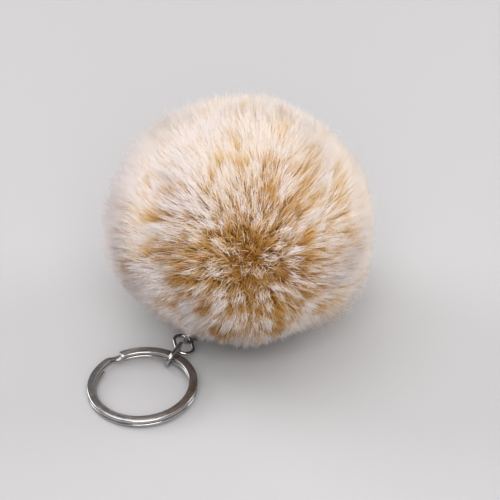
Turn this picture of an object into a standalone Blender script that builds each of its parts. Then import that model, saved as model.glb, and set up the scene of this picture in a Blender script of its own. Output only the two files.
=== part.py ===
"""Fur pom pom on a short chain and a split ring, lying on a flat surface.

Frame: metres, +Z up, origin on the surface under the middle of the ball, at its
flat spot. The chain and the split ring lie towards -X and -Y.
"""

import math
import random
from collections import namedtuple

import bmesh
import bpy
from mathutils import Matrix, Vector

MM = 0.001

# Fur ball
BALL_HALF_WIDTH = 37.4 * MM
BALL_HALF_HEIGHT = 34.5 * MM
BALL_CENTRE = Vector((0.0, 0.0, 32.2 * MM))  # 2.3 mm low, so that the fur's foot is flat
BACKING_SHARE = 0.53  # the backing's radius, as a share of the fur's
LOCK_SPOTS = 276  # points whose hull gives one cell to each lock
SPOT_JITTER = 0.035
LENGTH_SPREAD = 0.028  # how far a lock's length strays, as a share of the radius
SEED = 11

# The pile grows away from a whorl that faces the front, a little above the middle
WHORL_HEADING = math.radians(-86.0)
WHORL_RISE = math.radians(20.0)
LEAN = math.radians(15.0)  # of a lock's tip, a quarter turn from the whorl

# Swellings and hollows of the ball's outline: heading, rise and spread in degrees
Swelling = namedtuple("Swelling", "heading rise height spread")
SWELLINGS = (
    Swelling(-170.0, -12.0, 1.2 * MM, 20.0),
    Swelling(-30.0, -34.0, 2.0 * MM, 18.0),
    Swelling(-52.0, -48.0, -3.0 * MM, 12.0),
    Swelling(-121.0, -50.0, -2.4 * MM, 15.0),
    Swelling(-154.0, -32.0, -1.0 * MM, 12.0),
    Swelling(12.0, 16.0, 1.0 * MM, 18.0),
    Swelling(36.0, 38.0, -0.8 * MM, 18.0),
    Swelling(145.0, 39.0, 0.7 * MM, 16.0),
    Swelling(80.0, 5.0, 0.8 * MM, 30.0),
)

# A lock's cross-sections: how far along it, and its width as a share of its cell's
Section = namedtuple("Section", "along width")
LOCK_SECTIONS = (Section(0.45, 0.93), Section(0.86, 0.82), Section(1.0, 0.38))
FOOT_WIDTH = 0.55  # of the level tip of a lock that stands on the surface
CHAIN_CLEARANCE = 0.45 * MM
SHORTENING_STEPS = 12
TIP_SHARE = 0.9  # beyond this share of its length a lock has narrowed
FOOT_MARGIN = 0.15 * MM  # a lock that ends this near the surface stands on it

# Split ring: flat wire, two turns joined by one short crossover
RING_DIAMETER = 30.0 * MM
RING_WIRE_WIDTH = 2.4 * MM
RING_WIRE_HEIGHT = 1.05 * MM
RING_WIRE_BEVEL = 0.3 * MM
TURN_GAP = 0.2 * MM
RING_CENTRE = Vector((-26.3 * MM, -34.9 * MM, 0.0))
RING_TILT_HEADING = math.radians(50.8)  # the side that lies on the first link
RING_LIFT = 1.78 * MM
LOWER_END_ANGLE = math.radians(-212.0)
CROSSOVER_START = math.radians(120.0)
CROSSOVER_END = math.radians(137.0)
UPPER_END_ANGLE = math.radians(478.5)
TURN_STEP = math.radians(9.0)
CROSSOVER_STEPS = 3

# Chain: oval links of round wire
LINK_LENGTH = 8.8 * MM
LINK_WIDTH = 6.0 * MM
LINK_WIRE = 1.1 * MM
LINK_ARC_POINTS = 9
LinkPose = namedtuple("LinkPose", "name centre heading slope roll")  # angles in degrees
LINK_POSES = (
    LinkPose("chain_link_1", Vector((-18.35, -22.55, 3.09)) * MM, 62.0, 8.6, 112.0),
    LinkPose("chain_link_2", Vector((-15.75, -18.55, 3.37)) * MM, 103.0, 4.0, 11.4),
    LinkPose("chain_link_3", Vector((-12.59, -14.04, 3.13)) * MM, 43.8, -9.9, 112.0),
)

# Hanging eye: a pear-shaped wire loop from the backing to the last link
EYE_WIRE = 1.0 * MM
EYE_REACH = 1.5 * MM  # from the last link's middle towards its far end
EYE_HALF_WIDTH = 1.6 * MM
EYE_NECK_HALF_WIDTH = 0.75 * MM
EYE_SEAT_GAP = 0.87 * MM
EYE_LEG_POINTS = 9
EYE_ARC_POINTS = 9

SURFACES = {
    # name: colour, metallic, roughness
    "dyed_fur": ((0.72, 0.53, 0.36), 0.0, 0.9),
    "nickel_plated_steel": ((0.62, 0.61, 0.60), 1.0, 0.22),
}


def heading_direction(heading, rise):
    """Unit vector at a heading from +X towards +Y and a rise above the surface."""
    level = math.cos(rise)
    return Vector((level * math.cos(heading), level * math.sin(heading), math.sin(rise)))


WHORL = heading_direction(WHORL_HEADING, WHORL_RISE)


def clear_scene():
    for item in list(bpy.data.objects):
        bpy.data.objects.remove(item, do_unlink=True)


def make_surface(name, owner):
    """A material of its own for one object."""
    colour, metallic, roughness = SURFACES[name]
    surface = bpy.data.materials.new(f"{owner}_{name}")
    surface.use_nodes = True
    shader = surface.node_tree.nodes["Principled BSDF"]
    shader.inputs["Base Color"].default_value = (*colour, 1.0)
    shader.inputs["Metallic"].default_value = metallic
    shader.inputs["Roughness"].default_value = roughness
    return surface


def add_object(name, data, surface, collection, parent, matrix=None):
    item = bpy.data.objects.new(name, data)
    data.materials.append(make_surface(surface, name))
    collection.objects.link(item)
    item.parent = parent
    if matrix is not None:
        item.matrix_world = matrix
    return item


def mesh_from(bm, name):
    bmesh.ops.recalc_face_normals(bm, faces=bm.faces)
    mesh = bpy.data.meshes.new(name)
    bm.to_mesh(mesh)
    bm.free()
    return mesh


# ---------------------------------------------------------------- split ring


def ring_matrix():
    """Places the ring's own frame: its lowest edge touches the surface."""
    towards = heading_direction(RING_TILT_HEADING, 0.0)
    tilt = math.asin(RING_LIFT / RING_DIAMETER)
    hinge = towards.cross(Vector((0.0, 0.0, 1.0)))
    turn = Matrix.Rotation(tilt, 4, hinge)
    rise = Vector((0.0, 0.0, RING_DIAMETER / 2 * math.sin(tilt)))
    return Matrix.Translation(RING_CENTRE + rise) @ turn


def wire_section(bm, radius, angle, height):
    """One flat face across the ring's wire, with its corners bevelled."""
    half_width = RING_WIRE_WIDTH / 2
    half_height = RING_WIRE_HEIGHT / 2
    face_up = Matrix.Rotation(math.pi / 2, 4, "X")
    made = bmesh.ops.create_grid(bm, x_segments=1, y_segments=1, size=1.0, matrix=face_up)
    bmesh.ops.scale(bm, verts=made["verts"], vec=(half_width, 1.0, half_height))
    bmesh.ops.bevel(
        bm,
        geom=made["verts"],
        offset=RING_WIRE_BEVEL,
        affect="VERTICES",
        segments=1,
        profile=0.5,
    )
    place = Matrix.Rotation(angle, 4, "Z") @ Matrix.Translation((radius, 0.0, height))
    bmesh.ops.transform(bm, verts=bm.verts, matrix=place)
    return list(bm.faces) + list(bm.edges) + list(bm.verts)


def sweep(bm, section, start, end, climb, steps):
    """Carries the section round the ring's axis and up by the climb."""
    made = bmesh.ops.spin(
        bm,
        geom=section,
        cent=(0.0, 0.0, 0.0),
        axis=(0.0, 0.0, 1.0),
        dvec=(0.0, 0.0, climb / steps),
        angle=end - start,
        steps=steps,
        use_duplicate=False,
    )
    return made["geom_last"]


def build_split_ring(collection, parent):
    bm = bmesh.new()
    middle = (RING_DIAMETER - RING_WIRE_WIDTH) / 2
    pitch = RING_WIRE_HEIGHT + TURN_GAP
    section = wire_section(bm, middle, LOWER_END_ANGLE, RING_WIRE_HEIGHT / 2)
    stretches = (
        (LOWER_END_ANGLE, CROSSOVER_START, 0.0),
        (CROSSOVER_START, CROSSOVER_END, pitch),
        (CROSSOVER_END, UPPER_END_ANGLE, 0.0),
    )
    for start, end, climb in stretches:
        steps = CROSSOVER_STEPS if climb else round((end - start) / TURN_STEP)
        section = sweep(bm, section, start, end, climb, steps)
    mesh = mesh_from(bm, "split_ring")
    mesh.shade_smooth()
    mesh.set_sharp_from_angle(angle=math.radians(30.0))
    add_object("split_ring", mesh, "nickel_plated_steel", collection, parent, ring_matrix())


# --------------------------------------------------------------------- chain


def link_matrix(pose):
    """The link's frame: X along it, Y across it."""
    along = heading_direction(math.radians(pose.heading), math.radians(pose.slope))
    level = heading_direction(math.radians(pose.heading + 90.0), 0.0)
    above = along.cross(level)
    roll = math.radians(pose.roll)
    across = level * math.cos(roll) + above * math.sin(roll)
    axes = Matrix((along, across, along.cross(across))).transposed()
    return Matrix.Translation(pose.centre) @ axes.to_4x4()


def link_outline():
    """Middle line of a link's wire: two half circles joined by straights."""
    radius = (LINK_WIDTH - LINK_WIRE) / 2
    straight = (LINK_LENGTH - LINK_WIDTH) / 2
    points = []
    for side in (1.0, -1.0):
        for step in range(LINK_ARC_POINTS):
            angle = math.pi * (step / (LINK_ARC_POINTS - 1) - 0.5)
            x = side * (straight + radius * math.cos(angle))
            points.append(Vector((x, side * radius * math.sin(angle), 0.0)))
    return points


def wire_curve(name, points, wire, closed):
    curve = bpy.data.curves.new(name, "CURVE")
    curve.dimensions = "3D"
    curve.bevel_depth = wire / 2
    curve.bevel_resolution = 2
    curve.use_fill_caps = not closed
    spline = curve.splines.new("POLY")
    spline.points.add(len(points) - 1)
    for spot, point in zip(spline.points, points):
        spot.co = (*point, 1.0)
    spline.use_cyclic_u = closed
    spline.use_smooth = True
    return curve


def build_chain(collection, parent):
    for pose in LINK_POSES:
        curve = wire_curve(pose.name, link_outline(), LINK_WIRE, closed=True)
        add_object(pose.name, curve, "nickel_plated_steel", collection, parent, link_matrix(pose))


# ------------------------------------------------------------------ fur ball


def leaned(direction, along):
    """Where a lock's direction has turned to, away from the whorl, at a share of its length."""
    axis = WHORL.cross(direction)
    if axis.length < 1e-6:
        return direction.copy()
    return Matrix.Rotation(LEAN * axis.length * along, 3, axis.normalized()) @ direction


def before_leaning(direction):
    """The direction whose lock's tip leans to this one."""
    root = direction.copy()
    for _ in range(10):
        root.rotate(leaned(root, 1.0).rotation_difference(direction))
    return root


def fur_radius(direction):
    """Distance from the ball's centre to the fur's outer surface."""
    level = math.hypot(direction.x, direction.y) / BALL_HALF_WIDTH
    radius = 1.0 / math.hypot(level, direction.z / BALL_HALF_HEIGHT)
    for swelling in SWELLINGS:
        middle = heading_direction(math.radians(swelling.heading), math.radians(swelling.rise))
        apart = middle.angle(direction) / math.radians(swelling.spread)
        radius += swelling.height * math.exp(-apart * apart)
    return radius


def stands_on_surface(direction):
    """True where a lock of full length would reach the surface."""
    tip = leaned(direction, 1.0)
    return BALL_CENTRE.z + tip.z * fur_radius(tip) < FOOT_MARGIN


def strand_point(direction, along, length, on_surface):
    """A point of the pile, from the backing (along 0) to the tips (along 1)."""
    turned = leaned(direction, along)
    outer = fur_radius(turned)
    inner = outer * BACKING_SHARE
    outer *= length
    if turned.z < 0.0:
        to_surface = BALL_CENTRE.z / -turned.z
        outer = to_surface if on_surface else min(outer, to_surface)
    return BALL_CENTRE + turned * (inner + (outer - inner) * along)


def lock_cells():
    """Three- and four-sided cells over a unit sphere. One lock's tip points straight down."""
    rng = random.Random(SEED)
    bm = bmesh.new()
    golden = math.pi * (3.0 - math.sqrt(5.0))
    for index in range(LOCK_SPOTS):
        height = 1.0 - 2.0 * (index + 0.5) / LOCK_SPOTS
        level = math.sqrt(1.0 - height * height)
        spot = Vector((level * math.cos(index * golden), level * math.sin(index * golden), height))
        jitter = Vector(rng.uniform(-SPOT_JITTER, SPOT_JITTER) for _ in range(3))
        bm.verts.new((spot + jitter).normalized())
    bmesh.ops.convex_hull(bm, input=bm.verts)
    bmesh.ops.join_triangles(
        bm,
        faces=bm.faces,
        angle_face_threshold=math.pi,
        angle_shape_threshold=math.pi,
    )
    quads = [face for face in bm.faces if len(face.verts) == 4]
    lowest = min(quads, key=lambda face: face.calc_center_median().z)
    middle = lowest.calc_center_median().normalized()
    turn = middle.rotation_difference(before_leaning(Vector((0.0, 0.0, -1.0)))).to_matrix()
    bmesh.ops.rotate(bm, verts=bm.verts, cent=(0.0, 0.0, 0.0), matrix=turn)
    return bm


def eye_frame():
    """The eye's outermost point, its way through the last link and its way in."""
    last = link_matrix(LINK_POSES[-1])
    outermost = last @ Vector((EYE_REACH, 0.0, 0.0))
    inwards, across = last.to_3x3().transposed()[1:]
    return outermost, across, inwards


def eye_cell(bm):
    """The cell that is left bare, because the eye stands on it."""
    outermost, _, _ = eye_frame()
    reach = (outermost - BALL_CENTRE).length
    share = (reach / BALL_HALF_WIDTH - BACKING_SHARE) / (1.0 - BACKING_SHARE)

    def miss(face):
        direction = leaned(face.calc_center_median().normalized(), share)
        return (BALL_CENTRE + direction * reach - outermost).length

    return min((f for f in bm.faces if len(f.verts) == 4), key=miss)


def eye_points(seat_direction):
    """Middle line of the eye's wire: up one leg, round the end and down the other."""
    outermost, across, inwards = eye_frame()
    seat = strand_point(seat_direction, 0.0, 1.0, False)
    seat += seat_direction * EYE_SEAT_GAP
    bend = outermost + inwards * EYE_HALF_WIDTH
    reach_in = (seat - bend).length
    leg = []
    for step in range(EYE_LEG_POINTS):
        along = step / EYE_LEG_POINTS
        ease = along * along * (3.0 - 2.0 * along)
        straight_out = seat + seat_direction * reach_in * along
        straight_in = bend + inwards * reach_in * (1.0 - along)
        middle = straight_out.lerp(straight_in, ease)
        half_width = EYE_NECK_HALF_WIDTH + (EYE_HALF_WIDTH - EYE_NECK_HALF_WIDTH) * ease
        leg.append((middle, half_width))
    points = [middle + across * half_width for middle, half_width in leg]
    for step in range(EYE_ARC_POINTS):
        angle = math.pi * step / (EYE_ARC_POINTS - 1)
        offset = across * math.cos(angle) - inwards * math.sin(angle)
        points.append(bend + offset * EYE_HALF_WIDTH)
    points += [middle - across * half_width for middle, half_width in reversed(leg)]
    return points


def wire_samples(eye):
    """Points along the chain's and the eye's wires, which the locks keep clear of."""
    samples = list(eye)
    for pose in LINK_POSES:
        place = link_matrix(pose)
        outline = link_outline()
        for point, following in zip(outline, outline[1:] + outline[:1]):
            samples.append(place @ point)
            samples.append(place @ point.lerp(following, 0.5))
    return samples


def clear_length(direction, half_angle, length, wires):
    """Shortens a lock until its whole body is clear of the chain and the eye."""
    keep_off = LINK_WIRE / 2 + CHAIN_CLEARANCE
    for step in range(1, SHORTENING_STEPS + 1):
        along = step / SHORTENING_STEPS
        middle = strand_point(direction, along, length, False)
        radius = (middle - BALL_CENTRE).length
        half_width = radius * half_angle * (LOCK_SECTIONS[1].width if along > TIP_SHARE else 1.0)
        if min((middle - wire).length for wire in wires) < keep_off + half_width:
            return (step - 1) / SHORTENING_STEPS
    return 1.0


def add_lock(bm, face, root_layer, rng, wires):
    """Grows one tapered lock out of its cell of the backing."""
    roots = [vert[root_layer].copy() for vert in face.verts]
    middle = sum(roots, Vector()).normalized()
    on_surface = stands_on_surface(middle)
    length = 1.0 + rng.uniform(-LENGTH_SPREAD, LENGTH_SPREAD)
    half_angle = max(middle.angle(root) for root in roots)
    reach = clear_length(middle, half_angle, length, wires)
    if reach < 1.0:
        on_surface = False
    for section in LOCK_SECTIONS:
        width = section.width
        if on_surface and section is LOCK_SECTIONS[-1]:
            width = FOOT_WIDTH
        face = bmesh.ops.extrude_discrete_faces(bm, faces=[face])["faces"][0]
        for vert in face.verts:
            direction = middle.lerp(vert[root_layer], width).normalized()
            vert.co = strand_point(direction, section.along * reach, length, on_surface)


def build_fur_ball(collection, parent):
    rng = random.Random(SEED)
    bm = lock_cells()
    bare = eye_cell(bm)
    eye = eye_points(bare.calc_center_median().normalized())
    wires = wire_samples(eye)
    root_layer = bm.verts.layers.float_vector.new("root")
    for vert in bm.verts:
        vert[root_layer] = vert.co
        vert.co = strand_point(vert[root_layer], 0.0, 1.0, False)
    for face in [f for f in bm.faces if f != bare]:
        add_lock(bm, face, root_layer, rng, wires)
    mesh = mesh_from(bm, "pom_pom")
    add_object("pom_pom", mesh, "dyed_fur", collection, parent)
    curve = wire_curve("hanging_eye", eye, EYE_WIRE, closed=False)
    add_object("hanging_eye", curve, "nickel_plated_steel", collection, parent)


def main():
    clear_scene()
    collection = bpy.data.collections.new("pom_pom_on_split_ring")
    bpy.context.scene.collection.children.link(collection)
    rest_spot = bpy.data.objects.new("rest_spot", None)
    collection.objects.link(rest_spot)
    build_fur_ball(collection, rest_spot)
    build_chain(collection, rest_spot)
    build_split_ring(collection, rest_spot)


if __name__ == "__main__":
    main()
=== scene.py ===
"""Looks for a fur pom pom on a short chain and a split ring, lying on a flat surface.

The pom pom is a round pelt with a long, dense, dip-dyed pile: ginger at the roots and
cream at the tips. The pile is made of many fine closed fibres, joined into six fields,
one for each side of the ball. The metal pieces are nickel-plated steel wire.

Frame: metres, +Z up, origin on the surface under the middle of the ball.
"""

import logging
import math
from collections.abc import Callable
from dataclasses import dataclass, field
from enum import Enum

import bpy
import numpy as np
from mathutils import Matrix, Vector
from mathutils.kdtree import KDTree


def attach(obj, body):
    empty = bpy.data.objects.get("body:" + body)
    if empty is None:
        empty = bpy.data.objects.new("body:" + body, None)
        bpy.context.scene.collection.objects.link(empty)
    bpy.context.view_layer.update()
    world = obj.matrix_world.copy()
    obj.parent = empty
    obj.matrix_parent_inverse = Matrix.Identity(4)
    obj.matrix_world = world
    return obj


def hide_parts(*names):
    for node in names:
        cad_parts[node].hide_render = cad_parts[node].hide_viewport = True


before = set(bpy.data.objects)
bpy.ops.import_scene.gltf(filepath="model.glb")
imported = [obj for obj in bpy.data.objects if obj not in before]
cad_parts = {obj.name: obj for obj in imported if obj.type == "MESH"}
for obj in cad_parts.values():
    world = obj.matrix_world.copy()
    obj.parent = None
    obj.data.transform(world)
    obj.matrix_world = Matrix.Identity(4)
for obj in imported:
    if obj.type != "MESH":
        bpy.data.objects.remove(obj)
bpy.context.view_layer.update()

MM = 0.001
TINY = 1e-9
BODY = "root"
BAKE_MAP = "OFBake"

log = logging.getLogger("pom_pom")


# ---- small helpers


def linear_colour(code: str) -> tuple[float, float, float, float]:
    """Turns an sRGB hex colour into linear RGBA by the standard sRGB curve.

    Args:
        code: Six hex digits after a hash.

    Returns:
        Red, green, blue and an alpha of 1.
    """
    shares = [int(code[i : i + 2], 16) / 255.0 for i in (1, 3, 5)]
    red, green, blue = [
        share / 12.92 if share <= 0.04045 else ((share + 0.055) / 1.055) ** 2.4 for share in shares
    ]
    return (red, green, blue, 1.0)


def heading_direction(heading: float, rise: float) -> Vector:
    """Gives the unit vector at a heading from +X towards +Y and a rise, in degrees.

    Args:
        heading: Degrees from +X towards +Y.
        rise: Degrees above the level.

    Returns:
        The unit vector.
    """
    level = math.cos(math.radians(rise))
    turn = math.radians(heading)
    return Vector((level * math.cos(turn), level * math.sin(turn), math.sin(math.radians(rise))))


def bell(apart: np.ndarray) -> np.ndarray:
    """Gives 1 at 0, about a third at 1 and next to nothing past 2."""
    return np.exp(-apart * apart)


def eased(share: float) -> float:
    """Gives a share that starts and ends gently."""
    return share * share * (3.0 - 2.0 * share)


def unit(rows: np.ndarray) -> np.ndarray:
    """Scales each row to a length of 1."""
    return rows / np.linalg.norm(rows, axis=1)[:, None]


def angles_from(direction: Vector | tuple, rows: np.ndarray) -> np.ndarray:
    """Gives the angle of each row, a unit vector, from one direction."""
    return np.arccos(np.clip(rows @ np.array(direction), -1.0, 1.0))


def spacing(count: int) -> float:
    """Gives the spacing of points spread evenly over the unit sphere."""
    return math.sqrt(4.0 * math.pi / count)


def nearest_finder(points: np.ndarray) -> KDTree:
    """Puts points into a tree that finds the nearest of them.

    Args:
        points: The points, one a row.

    Returns:
        The tree, which gives a point's row as its index.
    """
    tree = KDTree(len(points))
    for index, point in enumerate(points):
        tree.insert(point, index)
    tree.balance()
    return tree


def set_inputs(
    node: bpy.types.Node, values: dict | None = None, links: dict | None = None
) -> None:
    """Sets a node's inputs.

    Args:
        node: The node.
        values: Input name or number to its fixed value.
        links: Input name or number to the output that feeds it.
    """
    for key, value in (values or {}).items():
        node.inputs[key].default_value = value
    for key, socket in (links or {}).items():
        node.id_data.links.new(socket, node.inputs[key])


def add_node(
    material: bpy.types.Material | bpy.types.World,
    kind: str,
    values: dict | None = None,
    links: dict | None = None,
    stops: tuple = (),
    **settings: object,
) -> bpy.types.Node:
    """Adds one node to a material or to the sky.

    Args:
        material: The material or the world that the node goes into.
        kind: The node's type, without ShaderNode.
        values: The inputs' fixed values.
        links: The outputs that feed its inputs.
        stops: For a colour ramp, its (place, hex colour) pairs.
        **settings: Fields of the node itself.

    Returns:
        The new node.
    """
    node = material.node_tree.nodes.new(f"ShaderNode{kind}")
    for name, value in settings.items():
        setattr(node, name, value)
    set_inputs(node, values, links)
    for index, (place, code) in enumerate(stops):
        elements = node.color_ramp.elements  # A new ramp has two already.
        element = elements[index] if index < 2 else elements.new(place)
        element.position = place
        element.color = linear_colour(code)
    return node


def new_material(name: str) -> tuple[bpy.types.Material, bpy.types.Node]:
    """Makes a material.

    Args:
        name: The finish's name.

    Returns:
        The material and its Principled shader.
    """
    material = bpy.data.materials.new(name)
    material.use_nodes = True
    return material, material.node_tree.nodes["Principled BSDF"]


def new_object(name: str, data: bpy.types.ID) -> bpy.types.Object:
    """Puts a new object into the scene.

    Args:
        name: Its name.
        data: Its mesh, light or camera.

    Returns:
        The object.
    """
    piece = bpy.data.objects.new(name, data)
    bpy.context.scene.collection.objects.link(piece)
    return piece


def deselect_all() -> None:
    """Deselects every object and leaves none active."""
    bpy.ops.object.select_all(action="DESELECT")
    bpy.context.view_layer.objects.active = None


def activate(piece: bpy.types.Object) -> None:
    """Makes one object the only selected and the active one.

    Args:
        piece: The object.
    """
    deselect_all()
    piece.select_set(True)
    bpy.context.view_layer.objects.active = piece


def apply_place(piece: bpy.types.Object, place: Matrix) -> None:
    """Moves a piece to its place and puts that place into its mesh.

    Args:
        piece: The piece, still in its own frame.
        place: Its frame in the world.
    """
    activate(piece)
    piece.matrix_world = place
    bpy.ops.object.transform_apply(location=True, rotation=True, scale=True)


def select_verts(piece: bpy.types.Object, wanted: Callable[[Vector], bool]) -> None:
    """Selects the vertices that a test holds for, from edit mode.

    Args:
        piece: The object in edit mode.
        wanted: Takes a vertex's place and says whether it is selected.
    """
    bpy.ops.mesh.select_all(action="DESELECT")
    bpy.ops.object.mode_set(mode="OBJECT")
    for vert in piece.data.vertices:
        vert.select = wanted(vert.co)
    bpy.ops.object.mode_set(mode="EDIT")


def leave_edit_mode() -> None:
    """Turns all faces outwards and goes back to object mode."""
    bpy.ops.mesh.select_all(action="SELECT")
    bpy.ops.mesh.normals_make_consistent(inside=False)
    bpy.ops.object.mode_set(mode="OBJECT")


def finish_piece(
    piece: bpy.types.Object, material: bpy.types.Material, slot: str, *nodes: str
) -> None:
    """Dresses a piece, hangs it on the body it rides on and hides the nodes it replaces.

    Args:
        piece: The finished piece.
        material: Its material.
        slot: The record's material slot; not used.
        *nodes: The part's nodes that it replaces.
    """
    piece.data.materials.clear()
    piece.data.materials.append(material)
    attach(piece, BODY)
    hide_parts(*nodes)
    log.info("%s: %d faces", piece.name, len(piece.data.polygons))


# ---- finishes


@dataclass(frozen=True)
class DippedPile:
    """Dyed long-pile fur: ginger roots, with the tips stripped to cream.

    The map's U holds a fibre's family of tints and how far its frosting reaches, and V
    how high in the pile a point lies. The eye sees pale tufts with ginger between them.
    """

    name: str = "dip_dyed_pile"
    families: int = 4
    frost_reach: float = 0.80
    roughness: float = 0.75
    specular: float = 0.12
    warm_stops: tuple = (
        (0.00, "#A4651A"),
        (0.38, "#CE943C"),
        (0.58, "#E2B262"),
        (0.72, "#EFCF97"),
        (0.84, "#F7E2C4"),
        (1.00, "#FBF0E5"),
    )
    cool_stops: tuple = (
        (0.00, "#8E5418"),
        (0.40, "#B07B40"),
        (0.60, "#C99B63"),
        (0.72, "#E1C3A8"),
        (0.83, "#F7E8DE"),
        (1.00, "#FAF1F0"),
    )

    def make(self) -> bpy.types.Material:
        """Builds the material.

        Returns:
            The pile's material, which reads nothing but the fibres' own map.
        """
        material, shader = new_material(self.name)
        map_node = add_node(material, "UVMap", uv_map=BAKE_MAP)
        parts = add_node(material, "SeparateXYZ", links={0: map_node.outputs["UV"]})
        scaled = add_node(
            material,
            "Math",
            operation="MULTIPLY",
            values={1: float(self.families)},
            links={0: parts.outputs["X"]},
        )
        family = add_node(material, "Math", operation="FLOOR", links={0: scaled.outputs[0]})
        warmth = add_node(
            material,
            "Math",
            operation="DIVIDE",
            values={1: self.families - 1.0},
            links={0: family.outputs[0]},
        )
        frost = add_node(material, "Math", operation="FRACT", links={0: scaled.outputs[0]})
        shift = add_node(
            material,
            "Math",
            operation="MULTIPLY_ADD",
            values={1: self.frost_reach, 2: -0.5 * self.frost_reach},
            links={0: frost.outputs[0]},
        )
        depth = add_node(
            material,
            "Math",
            operation="MULTIPLY_ADD",
            use_clamp=True,
            links={0: parts.outputs["Y"], 1: shift.outputs[0], 2: parts.outputs["Y"]},
        )
        warm = add_node(material, "ValToRGB", links={0: depth.outputs[0]}, stops=self.warm_stops)
        cool = add_node(material, "ValToRGB", links={0: depth.outputs[0]}, stops=self.cool_stops)
        colour = add_node(
            material,
            "Mix",
            data_type="RGBA",
            links={0: warmth.outputs[0], 6: cool.outputs[0], 7: warm.outputs[0]},
        )
        values = {"Roughness": self.roughness, "Specular IOR Level": self.specular}
        set_inputs(shader, values, {"Base Color": colour.outputs[2]})
        return material


@dataclass(frozen=True)
class PeltFinish:
    """The pelt and the thick wool at the fibres' roots: matt ginger-brown."""

    name: str = "root_wool"
    stops: tuple = ((0.35, "#A9651C"), (0.65, "#CF8E38"))
    clump: float = 1.6 * MM
    detail: float = 3.0
    raggedness: float = 0.6
    roughness: float = 0.95

    def make(self) -> bpy.types.Material:
        """Builds the material.

        Returns:
            A mottled wool, its clumps as wide as the fibres' tufts.
        """
        material, shader = new_material(self.name)
        place = add_node(material, "TexCoord")
        noise = add_node(
            material,
            "TexNoise",
            values={"Scale": 1.0 / self.clump, "Detail": self.detail, "Roughness": self.raggedness},
            links={"Vector": place.outputs["Object"]},
        )
        ramp = add_node(material, "ValToRGB", links={0: noise.outputs[0]}, stops=self.stops)
        set_inputs(shader, {"Roughness": self.roughness}, {"Base Color": ramp.outputs[0]})
        return material


@dataclass(frozen=True)
class NickelPlate:
    """Bright nickel plate on drawn steel wire: polished, a little rubbed and scratched.

    The scratches are drawn coarser than real ones, which are too fine to show.
    """

    name: str = "polished_nickel_plate"
    # Both colours are darker than bare nickel: painted shade, standing in for the dim surroundings
    # that the plate reflects. The patches between them are rubbed wear.
    stops: tuple = ((0.35, "#A9A4A1"), (0.60, "#BCBBBC"))
    roughness: float = 0.10
    rub: float = 0.08
    rub_from: float = 0.4
    rub_to: float = 0.7
    patch: float = 2.5 * MM
    patch_detail: float = 4.0
    patch_raggedness: float = 0.65
    scratch: float = 0.25 * MM
    scratch_detail: float = 2.0
    scratch_depth: float = 0.01 * MM
    scratch_strength: float = 0.04

    def make(self) -> bpy.types.Material:
        """Builds the material.

        Returns:
            A metal whose gloss and colour vary a little where it has been handled.
        """
        material, shader = new_material(self.name)
        place = add_node(material, "TexCoord")
        patches = add_node(
            material,
            "TexNoise",
            values={
                "Scale": 1.0 / self.patch,
                "Detail": self.patch_detail,
                "Roughness": self.patch_raggedness,
            },
            links={"Vector": place.outputs["Object"]},
        )
        colour = add_node(material, "ValToRGB", links={0: patches.outputs[0]}, stops=self.stops)
        rubbed = self.roughness + self.rub
        gloss = add_node(
            material,
            "MapRange",
            values={1: self.rub_from, 2: self.rub_to, 3: self.roughness, 4: rubbed},
            links={0: patches.outputs[0]},
        )
        scratches = add_node(
            material,
            "TexNoise",
            values={"Scale": 1.0 / self.scratch, "Detail": self.scratch_detail},
            links={"Vector": place.outputs["Object"]},
        )
        bump = add_node(
            material,
            "Bump",
            values={"Strength": self.scratch_strength, "Distance": self.scratch_depth},
            links={"Height": scratches.outputs[0]},
        )
        feeds = {"Base Color": colour, "Roughness": gloss, "Normal": bump}
        set_inputs(shader, {"Metallic": 1.0}, {key: node.outputs[0] for key, node in feeds.items()})
        return material


@dataclass(frozen=True)
class PaperFloor:
    """Pale matt studio paper."""

    name: str = "studio_paper"
    colour: str = "#B8B8B9"
    roughness: float = 0.9

    def make(self) -> bpy.types.Material:
        """Builds the material.

        Returns:
            The floor's even, matt paper.
        """
        material, shader = new_material(self.name)
        set_inputs(shader, {"Base Color": linear_colour(self.colour), "Roughness": self.roughness})
        return material


# ---- the fur ball


@dataclass(frozen=True)
class Swelling:
    """A swelling or a hollow of the ball's outline, its angles in degrees."""

    heading: float
    rise: float
    height: float
    spread: float


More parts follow.
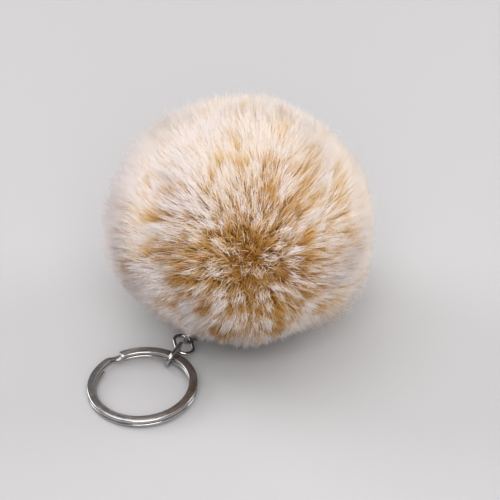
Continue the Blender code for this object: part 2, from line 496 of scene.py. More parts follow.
@dataclass(frozen=True)
class BallForm:
    """The outline that the pile's tips share, and how the pile lies.

    The shares say how far from the core the pelt and its wool lie, 1 for the outline.
    The fibres lean away from the whorl, and part round it within parting_reach.
    """

    half_width: float = 37.4 * MM
    half_height: float = 34.5 * MM
    centre_height: float = 32.2 * MM
    pelt_share: float = 0.66
    undercoat_share: float = 0.79
    core: tuple = (3.3 * MM, -2.5 * MM, 21.5 * MM)
    whorl: tuple = tuple(heading_direction(-86.0, 20.0))
    lean: float = math.radians(14.0)
    parting: float = math.radians(3.0)
    parting_reach: float = math.radians(8.0)
    calm_reach: float = math.radians(30.0)
    swellings: tuple = (
        Swelling(-170.0, -12.0, 1.2 * MM, 20.0),
        Swelling(-30.0, -34.0, 2.8 * MM, 18.0),
        Swelling(-52.0, -48.0, -3.0 * MM, 12.0),
        Swelling(-121.0, -50.0, -2.4 * MM, 15.0),
        Swelling(-154.0, -32.0, -1.0 * MM, 12.0),
        Swelling(-14.0, -20.0, 1.5 * MM, 15.0),
        Swelling(36.0, 38.0, -0.8 * MM, 18.0),
        Swelling(80.0, 5.0, 0.8 * MM, 30.0),
    )

    def radius(self, directions: np.ndarray) -> np.ndarray:
        """Gives the distance from the ball's centre to the pile's outline.

        Args:
            directions: Unit vectors, one a row.

        Returns:
            One distance for each row.
        """
        level = np.hypot(directions[:, 0], directions[:, 1]) / self.half_width
        radius = 1.0 / np.hypot(level, directions[:, 2] / self.half_height)
        for swelling in self.swellings:
            middle = heading_direction(swelling.heading, swelling.rise)
            apart = np.degrees(angles_from(middle, directions)) / swelling.spread
            radius += swelling.height * bell(apart)
        return radius

    def surface(self, directions: np.ndarray) -> np.ndarray:
        """Gives the points of the outline in these directions from the ball's centre."""
        return self.centre() + directions * self.radius(directions)[:, None]

    def drawn_in(self, directions: np.ndarray, share: float) -> np.ndarray:
        """Gives the outline's points, drawn in to the core.

        Args:
            directions: Unit vectors from the ball's centre, one a row.
            share: What is left of each point's distance from the core.

        Returns:
            Points, one a row.
        """
        core = np.array(self.core)
        return core + (self.surface(directions) - core) * share

    def whorl_angle(self, directions: np.ndarray) -> np.ndarray:
        """Gives each direction's angle from the whorl."""
        return angles_from(self.whorl, directions)

    def leaned(self, directions: np.ndarray) -> np.ndarray:
        """Turns tips' directions away from the whorl, as the pile lies.

        Args:
            directions: Unit vectors of the roots.

        Returns:
            Unit vectors of the tips.
        """
        axes = np.cross(np.array(self.whorl), directions)
        sine = np.linalg.norm(axes, axis=1)
        axes /= np.maximum(sine, TINY)[:, None]
        apart = self.whorl_angle(directions) / self.parting_reach
        turn = self.lean * sine + self.parting * apart * np.exp(1.0 - apart)
        sideways = np.cross(axes, directions)
        return directions * np.cos(turn)[:, None] + sideways * np.sin(turn)[:, None]

    def centre(self) -> np.ndarray:
        """Gives the ball's centre."""
        return np.array((0.0, 0.0, self.centre_height))


class Side(Enum):
    """The six sides of the ball, each a field of fibres of its own."""

    RIGHT = (1.0, 0.0, 0.0)
    LEFT = (-1.0, 0.0, 0.0)
    BACK = (0.0, 1.0, 0.0)
    FRONT = (0.0, -1.0, 0.0)
    CROWN = (0.0, 0.0, 1.0)
    BASE = (0.0, 0.0, -1.0)


@dataclass(frozen=True)
class Gathering:
    """How fibres gather towards shared points at their tips.

    count is how many such points the ball has, pull how far a tip moves towards its
    own, point how much shorter the outermost fibres are, and the spreads are how far
    one gathering strays from the next.
    """

    count: int
    pull: float
    pull_spread: float
    point: float
    length_spread: float
    frost_spread: float


@dataclass(frozen=True)
class Parting:
    """A place where the pile parts and shows its ginger, or shows less of it.

    heading, rise and reach are degrees, seen from the ball's centre. depth is how much
    frosting the place lacks; below 0 it has more, and the tips stay where they are.
    """

    heading: float
    rise: float
    reach: float
    depth: float


# The partings in sight and near the whorl: heading, rise, reach and depth.
PARTINGS = (
    (-82.0, 20.0, 7.5, 0.37), (-92.0, 34.0, 7.5, 0.28), (-98.5, 8.0, 6.0, -0.18),
    (-109.5, 12.0, 6.0, 0.20), (-118.0, 7.0, 7.0, 0.18), (-128.0, 18.0, 6.5, 0.10),
    (-139.0, 5.0, 5.0, 0.16), (-106.0, -6.0, 6.0, -0.20), (-91.0, -16.5, 4.0, 0.19),
    (-66.5, 50.5, 5.0, 0.66), (-108.0, 61.0, 5.5, 0.28), (-51.0, 39.5, 4.5, 0.10),
    (-74.5, 13.0, 6.5, 0.20), (-62.5, 6.0, 8.0, 0.37), (-77.5, -13.0, 6.0, 0.42),
    (-14.0, 30.0, 10.0, -0.10), (14.0, 73.0, 8.0, 0.13), (-134.0, 43.5, 4.5, 0.17),
    (-78.5, 1.5, 6.0, -0.18), (-167.0, 22.0, 16.0, -0.34), (-69.0, 61.0, 5.5, -0.18),
    (-58.0, 36.0, 6.0, -0.26), (-92.5, 1.0, 7.0, -0.10), (-145.0, 56.5, 15.0, -0.13),
    (-46.0, 18.0, 6.0, -0.11), (-89.0, 73.5, 7.0, -0.13), (-120.0, 31.5, 9.0, -0.24),
    (-128.0, -16.5, 7.0, -0.13),
)


@dataclass(frozen=True)
class Ripple:
    """A smooth change that runs over the ball at one scale.

    width is the real width of one of its patches, and sway how far it pushes tips
    sideways. Frost and warmth are how much it changes the fibres' tint.
    """

    width: float
    sway: float
    frost: float
    warmth: float


@dataclass(frozen=True)
class Frosting:
    """How far the cream reaches down the fibres over the ball, before chance is added.

    even is the share away from the whorl, and the lacks come off it. The narrow lack in the
    whorl's middle darkens it: painted shade of the hollow there. Chance counts for little at
    the back and the top, and for most in the pile below the whorl. back and low are headings
    and rises.
    """

    even: float = 0.85
    lack_behind: float = 0.08
    lack_near_whorl: float = 0.32
    # Less cream in the whorl's very middle, which darkens it: painted shade of the hollow there.
    painted_whorl_shade: float = 0.12
    whorl_reach: float = math.radians(64.0)
    whorl_shade_reach: float = math.radians(14.0)
    far_chance: float = 0.38
    near_chance: float = 0.87
    level_share: float = 0.65
    low_share: float = 0.50
    back: tuple = (90.0, 0.0)
    low: tuple = (-110.0, -20.0)

    def over(self, tips: np.ndarray, angle: np.ndarray) -> tuple[np.ndarray, np.ndarray]:
        """Works out the frosting of each fibre.

        Args:
            tips: Unit vectors of the fibres' tips.
            angle: Each tip's angle from the whorl.

        Returns:
            Each fibre's share, 0.5 for the finish's own reach, and how much chance counts.
        """
        behind = np.clip(tips @ np.array(heading_direction(*self.back)), 0.0, 1.0)
        near = bell(angle / self.whorl_reach)
        middle = bell(angle / self.whorl_shade_reach)
        share = self.even - self.lack_behind * behind - self.lack_near_whorl * near
        lively = self.level_share + self.low_share * (tips @ np.array(heading_direction(*self.low)))
        chance = self.far_chance + self.near_chance * near * lively
        # The last term is the painted shade in the whorl's middle.
        return share - self.painted_whorl_shade * middle, chance


@dataclass
class Pile:
    """The long pile: fine closed fibres from the pelt to the ball's outline.

    Jitters and straying are shares of the spacing between neighbours. opening is how far
    tips move out of a parting. A fibre has less cream towards its gathering's edge, which
    darkens the gaps between the tufts as painted shade. Lengths are shares of the way from
    the pelt to the outline. The fibres tangle near the whorl, and lie out level on the
    surface.
    """

    form: BallForm = field(default_factory=BallForm)
    frosting: Frosting = field(default_factory=Frosting)
    fibres: int = 156_000
    fibre_jitter: float = 0.45
    thickness: float = 0.20 * MM
    thickness_range: tuple = (0.7, 1.3)
    widest_at: float = 0.68
    partings: tuple = tuple(Parting(*row) for row in PARTINGS)
    far_partings: int = 44
    far_from_whorl: float = math.radians(100.0)
    far_jitter: float = 0.4
    far_reach: tuple = (4.0, 7.5)
    far_depth: tuple = (-0.08, 0.16)
    opening: float = 0.30
    least_depth: float = 0.1
    ripples: tuple = (
        Ripple(13.0 * MM, 1.5 * MM, 0.08, 0.18),
        Ripple(5.5 * MM, 0.9 * MM, 0.17, 0.10),
    )
    ripple_waves: int = 28
    gatherings: tuple = (
        Gathering(1000, 0.38, 0.16, 0.14, 0.020, 0.22),
        Gathering(3600, 0.58, 0.20, 0.17, 0.024, 0.18),
        Gathering(15000, 0.40, 0.20, 0.04, 0.016, 0.12),
    )
    gathering_jitter: float = 0.3
    straying: float = 0.16
    most_pull: float = 0.9
    follow_range: tuple = (0.2, 1.2)
    # Less cream towards each gathering's edge: painted shade in the gaps between the tufts.
    painted_valley_shade: float = 0.28
    mean_apart: float = 0.38
    full_length: float = 1.14
    length_spread: float = 0.22
    length_skew: float = 1.6
    frost_spread: float = 0.20
    mean_warmth: float = 0.5
    warmth_spread: float = 0.28
    warmest: tuple = (35.0, 45.0)
    warmth_rise: float = 0.42
    bend: float = 0.45 * MM
    stray: float = 0.30 * MM
    tangle: float = 1.1
    tangle_reach: float = math.radians(30.0)
    wire_zone: float = 24.0 * MM
    wire_clearance: float = 0.9 * MM
    wire_checks: int = 5
    floor_gap: float = 0.15 * MM
    floor_spread: float = 0.4 * MM
    spill: float = 0.6
    map_margin: float = 0.04
    map_width: float = 0.05
    seed: int = 23

    def __post_init__(self) -> None:
        """Seeds the random draws."""
        self.rng: np.random.Generator = np.random.default_rng(self.seed)

    def spread_directions(self, count: int, jitter: float) -> np.ndarray:
        """Spreads unit vectors evenly over the sphere, each a little off its place.

        Args:
            count: How many.
            jitter: How far each strays, as a share of their spacing.

        Returns:
            The unit vectors, one a row.
        """
        index = np.arange(count)
        height = 1.0 - 2.0 * (index + 0.5) / count
        level = np.sqrt(1.0 - height * height)
        turn = index * math.pi * (3.0 - math.sqrt(5.0))  # Steps of the golden angle.
        spots = np.stack((level * np.cos(turn), level * np.sin(turn), height), axis=1)
        return unit(spots + self.rng.normal(0.0, jitter * spacing(count), spots.shape))

    def gather(
        self, tips: np.ndarray, how: Gathering, strength: np.ndarray
    ) -> tuple[np.ndarray, np.ndarray, np.ndarray]:
        """Pulls tips together.

        Args:
            tips: Unit vectors of the fibres' tips.
            how: What gathers them.
            strength: How strongly each fibre follows, 1 for as much as how says.

        Returns:
            The moved tips, and each fibre's share in its gathering's length and frosting; the
            frosting is less towards the gathering's edge, painted shade between the tufts.
        """
        centres = self.spread_directions(how.count, self.gathering_jitter)
        tree = nearest_finder(centres)
        width = spacing(how.count)
        strayed = tips + self.rng.normal(0.0, self.straying * width, tips.shape)
        nearest = np.array([tree.find(tip)[1] for tip in strayed])
        pull = how.pull + self.rng.normal(0.0, how.pull_spread, how.count)
        pull = np.clip(pull, 0.0, self.most_pull)
        apart = np.linalg.norm(tips - centres[nearest], axis=1) / width
        length = self.rng.normal(0.0, how.length_spread, how.count)
        frost = self.rng.normal(0.0, how.frost_spread, how.count)
        share = pull[nearest] * self.rng.uniform(*self.follow_range, len(tips)) * strength
        moved = unit(tips + (centres[nearest] - tips) * share[:, None])
        longer = (length[nearest] - how.point * apart) * strength
        # The last term is painted shade: fibres towards the gathering's edge get less cream, so the
        # gaps between tufts look darker.
        return moved, longer, frost[nearest] + self.painted_valley_shade * (self.mean_apart - apart)

    def all_partings(self) -> list[Parting]:
        """Draws partings for the far sides, like those near the whorl.

        Returns:
            The partings near the whorl, and the drawn ones.
        """
        every = list(self.partings)
        for direction in self.spread_directions(self.far_partings * 2, self.far_jitter):
            if self.form.whorl_angle(direction[None])[0] > self.far_from_whorl:
                heading = math.degrees(math.atan2(direction[1], direction[0]))
                rise = math.degrees(math.asin(direction[2]))
                reach = self.rng.uniform(*self.far_reach)
                every.append(Parting(heading, rise, reach, self.rng.uniform(*self.far_depth)))
        return every

    def part(self, tips: np.ndarray) -> tuple[np.ndarray, np.ndarray]:
        """Moves tips away from each parting.

        Args:
            tips: Unit vectors of the fibres' tips.

        Returns:
            The moved tips, and how much frosting each fibre lacks.
        """
        moved = tips.copy()
        lack = np.zeros(len(tips))
        for parting in self.all_partings():
            middle = np.array(heading_direction(parting.heading, parting.rise))
            reach = math.radians(parting.reach)
            away = angles_from(middle, tips) / reach
            depth = parting.depth * bell(away)
            lack += depth
            most = max(abs(parting.depth), self.least_depth)
            spread = np.maximum(depth, 0.0) * self.opening / most
            moved += (tips - middle) * spread[:, None]
        return unit(moved), lack

    def run_ripple(
        self, tips: np.ndarray, ripple: Ripple
    ) -> tuple[np.ndarray, np.ndarray, np.ndarray]:
        """Runs one ripple over the ball.

        Args:
            tips: Unit vectors of the fibres' tips.
            ripple: The ripple.

        Returns:
            The swayed tips, and each fibre's share in the frosting and the warmth.
        """
        turns = unit(self.rng.normal(0.0, 1.0, (self.ripple_waves, 3)))
        turns *= math.pi * self.form.half_width / ripple.width
        phases = self.rng.uniform(0.0, math.tau, self.ripple_waves)
        scale = math.sqrt(2.0 / self.ripple_waves)
        waves = np.cos(tips @ turns.T + phases) * scale
        sway = ripple.sway / self.form.half_width
        pushes = self.rng.normal(0.0, sway, (self.ripple_waves, 3))
        calm = 1.0 - bell(self.form.whorl_angle(tips) / self.form.calm_reach)
        swayed = unit(tips + waves @ pushes * calm[:, None])
        tints = waves @ self.rng.normal(0.0, 1.0, (self.ripple_waves, 2))
        return swayed, tints[:, 0] * ripple.frost, tints[:, 1] * ripple.warmth

    def model_fibre(self) -> tuple[np.ndarray, np.ndarray]:
        """Models one fibre by hand: a three-sided spindle, pointed at both ends.

        Returns:
            Its vertices, with Z as the share of the length, and its triangles.
        """
        deselect_all()
        bpy.ops.mesh.primitive_cone_add(
            vertices=3,
            radius1=1.0,
            radius2=0.0,
            depth=1.0 - self.widest_at,
            end_fill_type="TRIFAN",
            location=(0.0, 0.0, (1.0 + self.widest_at) / 2.0),
        )
        fibre = bpy.context.object
        bpy.ops.object.transform_apply(location=True)
        bpy.ops.object.mode_set(mode="EDIT")
        # The base's middle point becomes the root: it is close to the axis, not to the top.
        close = 0.1
        select_verts(fibre, lambda co: math.hypot(co.x, co.y) < close and co.z < 1.0 - close)
        bpy.ops.transform.translate(value=(0.0, 0.0, -self.widest_at))
        leave_edit_mode()
        points = np.array([vert.co[:] for vert in fibre.data.vertices])
        faces = np.array([face.vertices[:] for face in fibre.data.polygons])
        bpy.data.objects.remove(fibre)
        return points, faces

    def grow(self, wires: np.ndarray) -> dict[str, np.ndarray]:
        """Works out every fibre's root, middle, tip and tint.

        Args:
            wires: Points along the chain's wires, which the fibres keep clear of.

        Returns:
            Arrays by name, a row for each fibre.
        """
        directions = self.spread_directions(self.fibres, self.fibre_jitter)
        tips = self.form.leaned(directions)
        frost, liveliness = self.frosting.over(tips, self.form.whorl_angle(tips))
        chance = np.zeros(self.fibres)
        warmth = self.rng.normal(self.mean_warmth, self.warmth_spread, self.fibres)
        warmth += self.warmth_rise * (tips @ np.array(heading_direction(*self.warmest)))
        for ripple in self.ripples:
            tips, paler, warmer = self.run_ripple(tips, ripple)
            chance += paler
            warmth += warmer
        tips, lack = self.part(tips)
        shortness = self.rng.random(self.fibres) ** self.length_skew
        length = self.full_length - self.length_spread * shortness
        for how in self.gatherings:
            tips, longer, paler = self.gather(tips, how, np.sqrt(liveliness))
            length += longer
            # paler also holds the painted shade towards each gathering's edge.
            chance += paler
        chance += self.rng.normal(0.0, self.frost_spread, self.fibres)
        frost += chance * liveliness - lack
        root = self.form.drawn_in(directions, self.form.pelt_share)
        straight = self.form.surface(directions) - root
        full = self.form.surface(tips) - root
        middle = root + straight * self.widest_at + (full - straight) * self.widest_at**2
        tangle = 1.0 + self.tangle * bell(self.form.whorl_angle(tips) / self.tangle_reach)[:, None]
        bent = self.rng.normal(0.0, self.bend, root.shape) * tangle
        strayed = self.rng.normal(0.0, self.stray, root.shape) * tangle
        last = DippedPile.families - 1
        grown = {
            "root": root,
            "middle": middle + bent,
            "tip": root + full * length[:, None] + strayed,
            "frost": np.clip(frost, 0.0, 1.0),
            "length": np.clip(length, 0.0, 1.0),
            "family": np.clip(np.round(warmth * last), 0, last),
            "direction": directions,
        }
        self.rest_on_floor(grown)
        clear = self.clear_of_wires(grown, wires)
        return {name: rows[clear] for name, rows in grown.items()}

    def rest_on_floor(self, grown: dict[str, np.ndarray]) -> None:
        """Lays the fibres that would reach below the surface out along it.

        Args:
            grown: The fibres, changed in place.
        """
        for name, least in (("middle", 2.0 * self.floor_gap), ("tip", self.floor_gap)):
            points = grown[name]
            above = least + np.abs(self.rng.normal(0.0, self.floor_spread, len(points)))
            lift = np.maximum(above - points[:, 2], 0.0)
            level = points[:, :2] / np.maximum(np.linalg.norm(points[:, :2], axis=1), MM)[:, None]
            points[:, :2] += level * lift[:, None] * self.spill
            points[:, 2] += lift

    def clear_of_wires(self, grown: dict[str, np.ndarray], wires: np.ndarray) -> np.ndarray:
        """Says which fibres pass clear of the chain.

        Args:
            grown: The fibres.
            wires: Points along the middle lines of the chain's wires.

        Returns:
            True for each fibre that stays.
        """
        tree = nearest_finder(wires)
        clear = np.ones(len(grown["root"]), dtype=bool)
        near = np.linalg.norm(grown["tip"] - wires.mean(axis=0), axis=1) < self.wire_zone
        for index in np.flatnonzero(near):
            legs = ((grown["root"], grown["middle"]), (grown["middle"], grown["tip"]))
            for start, end in legs:
                for share in np.linspace(0.0, 1.0, self.wire_checks):
                    point = start[index] + (end[index] - start[index]) * share
                    if tree.find(point)[2] < self.wire_clearance:
                        clear[index] = False
        return clear

    def build_field(
        self, side: Side, grown: dict[str, np.ndarray], fibre: tuple
    ) -> bpy.types.Object:
        """Joins the fibres of one side of the ball into one mesh.

        Args:
            side: The side.
            grown: All fibres.
            fibre: The modelled fibre's vertices and triangles.

        Returns:
            The field's object, with the fibres' own map.
        """
        facing = np.stack([grown["direction"] @ np.array(other.value) for other in Side])
        mine = facing.argmax(axis=0) == list(Side).index(side)
        root, middle, tip = (grown[name][mine] for name in ("root", "middle", "tip"))
        count = len(root)
        points, faces = fibre
        way = unit(tip - root)
        across = unit(np.cross(way, self.rng.normal(0.0, 1.0, way.shape)))
        beside = np.cross(way, across)
        half = 0.5 * self.thickness * self.rng.uniform(*self.thickness_range, count)[:, None]
        rows = []
        for x, y, along in points:
            line = {0.0: root, 1.0: tip}.get(round(float(along), 3), middle)
            rows.append(line + (across * x + beside * y) * half)
        verts = np.stack(rows, axis=1).reshape(-1, 3)
        loops = (faces[None] + np.arange(count)[:, None, None] * len(points)).ravel()
        mesh = bpy.data.meshes.new(f"fur_{side.name.lower()}")
        mesh.vertices.add(len(verts))
        mesh.vertices.foreach_set("co", verts.ravel())
        mesh.loops.add(len(loops))
        mesh.loops.foreach_set("vertex_index", loops.astype(np.int32))
        mesh.polygons.add(count * len(faces))
        mesh.polygons.foreach_set("loop_start", np.arange(0, len(loops), 3, dtype=np.int32))
        mesh.update(calc_edges=True)
        mesh.shade_smooth()
        self.write_map(mesh, {name: rows[mine] for name, rows in grown.items()}, fibre)
        return new_object(mesh.name, mesh)

    def write_map(self, mesh: bpy.types.Mesh, grown: dict[str, np.ndarray], fibre: tuple) -> None:
        """Writes each fibre's tint and how high in the pile each point lies as a map.

        Args:
            mesh: The field's mesh.
            grown: The field's fibres.
            fibre: The modelled fibre's vertices and triangles.
        """
        points, faces = fibre
        corner = faces.ravel()
        sideways = np.arctan2(points[:, 1], points[:, 0]) / math.tau + 0.5
        sideways = np.where(points[:, 2] == 0.0, 0.5, sideways)
        room = 1.0 - 2.0 * self.map_margin - self.map_width
        start = self.map_margin + grown["frost"] * room
        u = grown["family"][:, None] + start[:, None] + self.map_width * sideways[corner][None]
        u /= DippedPile.families
        v = points[corner, 2][None] * grown["length"][:, None]
        layer = mesh.uv_layers.new(name=BAKE_MAP)
        layer.uv.foreach_set("vector", np.stack((u, v), axis=2).astype(np.float32).ravel())

    def build(self, wires: np.ndarray, material: bpy.types.Material) -> None:
        """Builds and dresses the whole pile.

        Args:
            wires: Points along the chain's wires.
            material: The pile's finish.
        """
        fibre = self.model_fibre()
        grown = self.grow(wires)
        for side in Side:
            piece = self.build_field(side, grown, fibre)
            finish_piece(piece, material, "fur", "pom_pom")


@dataclass
class Pelt:
    """The round pelt under the pile, with the thick wool at the fibres' roots."""

    form: BallForm = field(default_factory=BallForm)
    subdivisions: int = 5
    lumps: float = 0.5 * MM
    lump_size: float = 2.2 * MM

    def build(self, material: bpy.types.Material) -> None:
        """Builds and dresses the pelt.

        Args:
            material: The wool's finish.
        """
        deselect_all()
        bpy.ops.mesh.primitive_ico_sphere_add(subdivisions=self.subdivisions, radius=1.0)
        piece = bpy.context.object
        piece.name = "pelt"
        directions = unit(np.array([vert.co[:] for vert in piece.data.vertices]))
        verts = self.form.drawn_in(directions, self.form.undercoat_share)
        piece.data.vertices.foreach_set("co", verts.ravel())
        texture = bpy.data.textures.new("wool_lumps", "CLOUDS")
        texture.noise_scale = self.lump_size
        lumps = piece.modifiers.new("lumps", "DISPLACE")
        lumps.texture = texture
        lumps.texture_coords = "LOCAL"
        lumps.strength = self.lumps * 2.0  # Half of it goes each way.
        bpy.ops.object.modifier_apply(modifier=lumps.name)
        bpy.ops.object.shade_smooth()
        finish_piece(piece, material, "fur", "pom_pom")


# ---- metal


@dataclass
class SplitRing:
    """Flat wire wound twice round, with one short crossover and two cut ends.

    The ends and the crossover are degrees round the ring, from +X of its own frame. It
    leans on the first link, so one side stands higher by lift.
    """

    diameter: float = 30.0 * MM
    wire_width: float = 2.4 * MM
    wire_height: float = 1.05 * MM
    edge: float = 0.3 * MM
    edge_segments: int = 3
    turn_gap: float = 0.2 * MM
    centre: tuple = (-26.3 * MM, -34.9 * MM, 0.0)
    tilt_heading: float = 50.8
    lift: float = 1.78 * MM
    lower_end: float = -212.0
    crossover: tuple = (120.0, 137.0)
    upper_end: float = 478.5
    step: float = 3.0
    crossover_steps: int = 10
    end_chamfer: float = 0.12 * MM
    chamfer_segments: int = 2
    chamfer_from: float = math.radians(60.0)
    smooth_under: float = math.radians(40.0)

    def place(self) -> Matrix:
        """Tilts the ring so that its lowest edge touches the surface.

        Returns:
            The ring's own frame in the world.
        """
        towards = heading_direction(self.tilt_heading, 0.0)
        tilt = math.asin(self.lift / self.diameter)
        turn = Matrix.Rotation(tilt, 4, towards.cross(Vector((0.0, 0.0, 1.0))))
        rise = Vector((0.0, 0.0, self.diameter / 2.0 * math.sin(tilt)))
        return Matrix.Translation(Vector(self.centre) + rise) @ turn

    def spin(self, degrees: float, steps: int) -> None:
        """Carries the selected section round the ring; the operator turns left-handed.

        Args:
            degrees: How far.
            steps: In how many steps.
        """
        bpy.ops.mesh.spin(
            steps=steps, angle=math.radians(degrees), center=(0.0, 0.0, 0.0), axis=(0.0, 0.0, -1.0)
        )

    def build(self, material: bpy.types.Material) -> None:
        """Builds and dresses the ring.

        Args:
            material: The plate's finish.
        """
        deselect_all()
        middle = (self.diameter - self.wire_width) / 2.0
        start = math.radians(self.lower_end)
        bpy.ops.mesh.primitive_plane_add(size=1.0, rotation=(math.pi / 2.0, 0.0, 0.0))
        piece = bpy.context.object
        piece.name = "split_ring_plated"
        piece.scale = (self.wire_width, self.wire_height, 1.0)
        bpy.ops.object.transform_apply(location=False, rotation=True, scale=True)
        section = Matrix.Translation((middle, 0.0, self.wire_height / 2.0))
        apply_place(piece, Matrix.Rotation(start, 4, "Z") @ section)
        bpy.ops.object.mode_set(mode="EDIT")
        bpy.ops.mesh.select_all(action="SELECT")
        bpy.ops.mesh.bevel(offset=self.edge, segments=self.edge_segments, affect="VERTICES")
        first, second = self.crossover
        self.spin(first - self.lower_end, round((first - self.lower_end) / self.step))
        climb = self.wire_height + self.turn_gap
        risen = 0.0
        for index in range(1, self.crossover_steps + 1):
            target = climb * eased(index / self.crossover_steps)
            self.spin((second - first) / self.crossover_steps, 1)
            bpy.ops.transform.translate(value=(0.0, 0.0, target - risen))
            risen = target
        self.spin(self.upper_end - second, round((self.upper_end - second) / self.step))
        leave_edit_mode()
        chamfer = piece.modifiers.new("cut_ends", "BEVEL")
        chamfer.width = self.end_chamfer
        chamfer.segments = self.chamfer_segments
        chamfer.limit_method = "ANGLE"
        chamfer.angle_limit = self.chamfer_from
        bpy.ops.object.modifier_apply(modifier=chamfer.name)
        bpy.ops.object.shade_smooth_by_angle(angle=self.smooth_under)
        apply_place(piece, self.place())
        finish_piece(piece, material, "plated_ring", "split_ring")


@dataclass(frozen=True)
class LinkPose:
    """Where one link lies: its middle in millimetres, its angles in degrees."""

    name: str
    centre: tuple
    heading: float
    slope: float
    roll: float

    def place(self) -> Matrix:
        """Places the link.

        Returns:
            The link's frame in the world: X along it, Y across it.
        """
        along = heading_direction(self.heading, self.slope)
        level = heading_direction(self.heading + 90.0, 0.0)
        above = along.cross(level)
        roll = math.radians(self.roll)
        across = level * math.cos(roll) + above * math.sin(roll)
        axes = Matrix((along, across, along.cross(across))).transposed()
        return Matrix.Translation(Vector(self.centre) * MM) @ axes.to_4x4()


@dataclass
class Chain:
    """Three closed oval links of round wire."""

    length: float = 8.8 * MM
    width: float = 6.0 * MM
    wire: float = 1.1 * MM
    around: int = 46
    round_segments: int = 16
    poses: tuple = (
        LinkPose("chain_link_1", (-18.35, -22.55, 3.09), 62.0, 8.6, 112.0),
        LinkPose("chain_link_2", (-15.75, -18.55, 3.37), 103.0, 4.0, 11.4),
        LinkPose("chain_link_3", (-12.59, -14.04, 3.13), 43.8, -9.9, 112.0),
    )

    def model_link(self) -> bpy.types.Object:
        """Models one link: a torus whose halves are moved apart.

        Returns:
            The link, in its own frame.
        """
        deselect_all()
        bpy.ops.mesh.primitive_torus_add(
            major_segments=self.around,
            minor_segments=self.round_segments,
            major_radius=(self.width - self.wire) / 2.0,
            minor_radius=self.wire / 2.0,
        )
        link = bpy.context.object
        apart = (self.length - self.width) / 2.0
        bpy.ops.object.mode_set(mode="EDIT")
        for side in (1.0, -1.0):
            select_verts(link, lambda co, side=side: co.x * side > 0.0)
            bpy.ops.transform.translate(value=(side * apart, 0.0, 0.0))
        bpy.ops.object.mode_set(mode="OBJECT")
        bpy.ops.object.shade_smooth()
        return link

    def middle_line(self, pose: LinkPose, steps: int = 72) -> list[Vector]:
        """Gives points along the middle of a link's wire.

        Args:
            pose: The link's place.
            steps: How many points.

        Returns:
            The points, in the world.
        """
        radius = (self.width - self.wire) / 2.0
        apart = (self.length - self.width) / 2.0
        points = []
        for index in range(steps):
            turn = math.tau * (index + 0.5) / steps
            x = radius * math.cos(turn) + math.copysign(apart, math.cos(turn))
            points.append(pose.place() @ Vector((x, radius * math.sin(turn), 0.0)))
        return points

    def build(self, material: bpy.types.Material) -> None:
        """Builds and dresses the links, each a copy of one.

        Args:
            material: The plate's finish.
        """
        model = self.model_link()
        for pose in self.poses:
            link = new_object(f"{pose.name}_plated", model.data.copy())
            apply_place(link, pose.place())
            finish_piece(link, material, "plated_wire", pose.name)
        bpy.data.objects.remove(model)


@dataclass
class HangingEye:
    """A pear-shaped wire loop that ties the last link to the pelt.

    Its legs run from the seat inside the ball, neck apart there, to the round bend that
    holds the link, reach past the link's middle.
    """

    last_link: LinkPose
    wire: float = 1.0 * MM
    reach: float = 1.5 * MM
    half_width: float = 1.6 * MM
    neck: float = 0.75 * MM
    seat: float = 19.0 * MM
    seat_heading: float = -126.1
    seat_rise: float = -52.1
    leg_points: int = 14
    arc_points: int = 13
    wire_smoothness: int = 5
    merge: float = 0.001 * MM
    smooth_under: float = math.radians(50.0)

    def middle_line(self, centre: Vector) -> list[Vector]:
        """Gives the middle line of the eye's wire, from one foot to the other.

        Args:
            centre: The ball's centre.

        Returns:
            The points, in the world.
        """
        place = self.last_link.place()
        outermost = place @ Vector((self.reach, 0.0, 0.0))
        inwards, across = place.to_3x3().transposed()[1:]
        out = heading_direction(self.seat_heading, self.seat_rise)
        foot = centre + out * self.seat
        bend = outermost + inwards * self.half_width
        span = (foot - bend).length
        leg = []
        for index in range(self.leg_points):
            along = index / self.leg_points
            ease = eased(along)
            middle = (foot + out * span * along).lerp(bend + inwards * span * (1.0 - along), ease)
            leg.append((middle, self.neck + (self.half_width - self.neck) * ease))
        points = [middle + across * half for middle, half in leg]
        for index in range(self.arc_points):
            turn = math.pi * index / (self.arc_points - 1)
            out_of_bend = across * math.cos(turn) - inwards * math.sin(turn)
            points.append(bend + out_of_bend * self.half_width)
        return points + [middle - across * half for middle, half in reversed(leg)]

    def build(self, centre: Vector, material: bpy.types.Material) -> list[Vector]:
        """Builds and dresses the eye.

        Args:
            centre: The ball's centre.
            material: The plate's finish.

        Returns:
            The middle line of its wire.
        """
        line = self.middle_line(centre)
        deselect_all()
        bpy.ops.curve.primitive_bezier_curve_add()
        piece = bpy.context.object
        piece.name = "hanging_eye_plated"
        curve = piece.data
        curve.splines.clear()
        spline = curve.splines.new("POLY")
        spline.points.add(len(line) - 1)
        for spot, point in zip(spline.points, line):
            spot.co = (*point, 1.0)
        curve.bevel_depth = self.wire / 2.0
        curve.bevel_resolution = self.wire_smoothness
        curve.use_fill_caps = True
        bpy.ops.object.convert(target="MESH")
        bpy.ops.object.mode_set(mode="EDIT")
        bpy.ops.mesh.select_all(action="SELECT")
        bpy.ops.mesh.remove_doubles(threshold=self.merge)
        leave_edit_mode()
        bpy.ops.object.shade_smooth_by_angle(angle=self.smooth_under)
        finish_piece(piece, material, "plated_wire", "hanging_eye")
        return line


# ---- studio


@dataclass(frozen=True)
class SoftBox:
    """One square area light that faces the ball: metres, watts and its tint."""

    name: str
    place: tuple
    size: float
    power: float
    colour: str


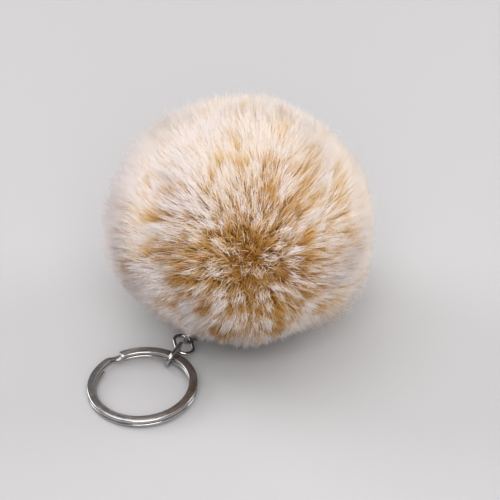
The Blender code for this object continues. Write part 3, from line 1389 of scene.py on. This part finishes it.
@dataclass
class Studio:
    """The pale floor, the soft lights and the camera at the photograph's angle."""

    focus: tuple = (2.75 * MM, 3.5 * MM, 20.0 * MM)
    distance: float = 474.0 * MM
    elevation: float = 35.3
    view_angle: float = 17.0
    clip_start: float = 0.01
    floor_size: float = 3.0
    sky_stops: tuple = (
        (0.00, "#7A7877"),
        (0.50, "#7A7877"),
        (0.86, "#8A8887"),
        (0.93, "#F0EFF1"),
        (1.00, "#FCFBFD"),
    )
    sky_strength: float = 1.0
    lights: tuple = (
        SoftBox("key_box", (-0.16, 0.10, 0.80), 0.60, 1.5, "#FFFDFC"),
        SoftBox("front_box", (0.04, -0.74, 0.62), 0.75, 7.1, "#FFFDFC"),
        SoftBox("left_box", (-0.74, 0.40, 0.50), 0.50, 3.5, "#FFFDFF"),
        SoftBox("right_box", (0.80, 0.30, 0.45), 0.50, 3.2, "#FFFDFF"),
        SoftBox("back_box", (0.45, 0.84, 0.18), 0.32, 1.8, "#FFF3E4"),
    )

    def add_camera(self) -> None:
        """Adds the camera and makes it the scene's."""
        rise = math.radians(self.elevation)
        away = Vector((0.0, -math.cos(rise), math.sin(rise))) * self.distance
        data = bpy.data.cameras.new("camera")
        data.sensor_fit = "HORIZONTAL"
        data.angle = math.radians(self.view_angle)
        data.clip_start = self.clip_start
        camera = new_object("camera", data)
        camera.location = Vector(self.focus) + away
        camera.rotation_euler = (math.pi / 2.0 - rise, 0.0, 0.0)
        bpy.context.scene.camera = camera

    def add_lights(self) -> None:
        """Adds the soft boxes."""
        for box in self.lights:
            data = bpy.data.lights.new(box.name, "AREA")
            data.size = box.size
            data.energy = box.power
            data.color = linear_colour(box.colour)[:3]
            light = new_object(box.name, data)
            light.visible_camera = False
            light.location = box.place
            aim = Vector(self.focus) - light.location
            light.rotation_euler = aim.to_track_quat("-Z", "Y").to_euler()

    def add_sky(self) -> None:
        """Adds a sky that is dim by the horizon and bright overhead, as in a light tent."""
        bpy.context.scene.view_settings.view_transform = "Standard"
        world = bpy.data.worlds.new("soft_sky")
        world.use_nodes = True
        place = add_node(world, "TexCoord")
        parts = add_node(world, "SeparateXYZ", links={0: place.outputs["Generated"]})
        rise = add_node(world, "MapRange", values={1: -1.0, 2: 1.0}, links={0: parts.outputs["Z"]})
        ramp = add_node(world, "ValToRGB", links={0: rise.outputs[0]}, stops=self.sky_stops)
        background = world.node_tree.nodes["Background"]
        set_inputs(background, {"Strength": self.sky_strength}, {"Color": ramp.outputs[0]})
        bpy.context.scene.world = world

    def add_floor(self) -> None:
        """Adds the floor, which isn't part of the object."""
        deselect_all()
        bpy.ops.mesh.primitive_plane_add(size=self.floor_size)
        floor = bpy.context.object
        floor.name = "studio_floor"
        floor.data.materials.append(PaperFloor().make())

    def build(self) -> None:
        """Sets up the whole studio."""
        self.add_camera()
        self.add_lights()
        self.add_sky()
        self.add_floor()
        log.info("studio: %d lights", len(self.lights))


# ---- main


def main() -> None:
    """Builds every sub-assembly."""
    logging.basicConfig(level=logging.INFO, format="%(message)s")
    Studio().build()
    form = BallForm()
    plate = NickelPlate().make()
    SplitRing().build(plate)
    chain = Chain()
    chain.build(plate)
    eye_line = HangingEye(chain.poses[-1]).build(Vector(form.centre()), plate)
    wires = [point for pose in chain.poses for point in chain.middle_line(pose)]
    Pelt(form).build(PeltFinish().make())
    Pile(form).build(np.array([point[:] for point in wires + eye_line]), DippedPile().make())


if __name__ == "__main__":
    main()
